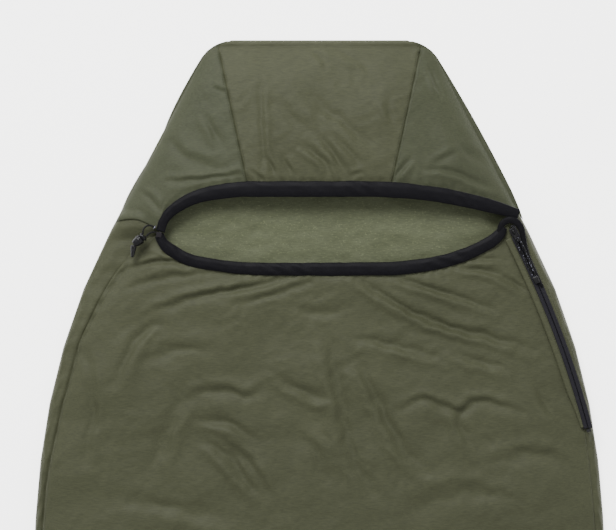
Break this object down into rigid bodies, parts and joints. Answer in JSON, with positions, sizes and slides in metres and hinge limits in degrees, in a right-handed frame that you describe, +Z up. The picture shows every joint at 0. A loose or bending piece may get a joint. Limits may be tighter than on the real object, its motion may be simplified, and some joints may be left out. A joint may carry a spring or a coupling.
{
  "type": "bivy sack",
  "caption": "Olive waterproof bivy sack with a shaped hood, a bound face opening with drawcord and cord lock, and a short curved chest zip.",
  "frame": {"origin": "Middle of the footprint of the sack, on the ground it lies on.", "axes": "+Y runs from foot to head along the sack, +X to the zip side, +Z up out of the ground."},
  "size_m": [0.8078, 2.15, 0.0454],
  "materials": {
    "shell_cloth": "matt woven ripstop-free shell cloth",
    "base_cloth": "coated base cloth",
    "binding_cloth": "soft knitted binding",
    "grey_tab": "narrow woven tape",
    "cord": "braided elastic cord",
    "fleck_cord": "braided cord with pale flecks",
    "lock_plastic": "moulded, slightly glossy",
    "spring_steel": "plain",
    "zip_tape": "smooth coated tape",
    "zip_coil": "nylon coil",
    "slider_metal": "black painted"
  },
  "bodies": {
    "sack": {"base_panel": "base_cloth", "side_gusset_left": "shell_cloth", "side_gusset_right": "shell_cloth", "hood_centre_panel": "shell_cloth", "hood_side_panel_left": "shell_cloth", "hood_side_panel_right": "shell_cloth", "front_panel": "shell_cloth", "foot_panel": "shell_cloth", "hood_binding": "binding_cloth", "chin_binding_corner": "binding_cloth", "drawcord_run": "cord", "drawcord_eyelet": "lock_plastic", "drawcord_strand_upper": "cord", "drawcord_strand_lower": "cord", "drawcord_end": "lock_plastic", "binding_join_tab": "grey_tab", "zip_tape_side": "zip_tape", "zip_coil_side": "zip_coil", "zip_top_stop": "zip_coil", "zip_bottom_stop": "zip_coil", "zip_garage": "binding_cloth", "zip_guard_strip": "binding_cloth"},
    "chest_flap": {"front_panel_flap": "shell_cloth", "chin_binding": "binding_cloth", "zip_tape_front": "zip_tape", "zip_coil_front": "zip_coil", "zip_placket": "shell_cloth"},
    "zip_slider": {"zip_slider_body": "slider_metal"},
    "zip_pull": {"zip_slider_tab": "slider_metal", "zip_pull_cord": "fleck_cord", "zip_pull_end": "lock_plastic"},
    "cord_lock": {"cord_lock_barrel": "lock_plastic", "cord_lock_spring": "spring_steel"},
    "cord_lock_button": {"cord_lock_plunger": "lock_plastic"}
  },
  "joints": [
    {"name": "chest_flap_fold", "type": "hinge", "parent": "sack", "child": "chest_flap", "pos_m": [-0.2, 0.76455, 0.0324], "axis": [0.9201, -0.3916, 0], "range_deg": [0, 150]},
    {"name": "zip_slider_travel", "type": "hinge", "parent": "sack", "child": "zip_slider", "pos_m": [-0.98582, 0.16619, 0.0298], "axis": [0, 0, -1], "range_deg": [0, 10.96]},
    {"name": "zip_pull_swing", "type": "hinge", "parent": "zip_slider", "child": "zip_pull", "pos_m": [0.27185, 0.80368, 0.0344], "axis": [-0.892, -0.4521, 0], "range_deg": [0, 140]},
    {"name": "cord_lock_slide", "type": "slide", "parent": "sack", "child": "cord_lock", "axis": [0.7848, 0.6198, 0], "range_m": [0, 0.003]},
    {"name": "cord_lock_press", "type": "slide", "parent": "cord_lock", "child": "cord_lock_button", "axis": [-0.7848, -0.6198, 0], "range_m": [0, 0.002], "stiffness_N_per_m": 250}
  ],
  "couplings": [
    {"joint": "zip_slider_travel", "follows": "chest_flap_fold", "ratio": 0.073033}
  ]
}
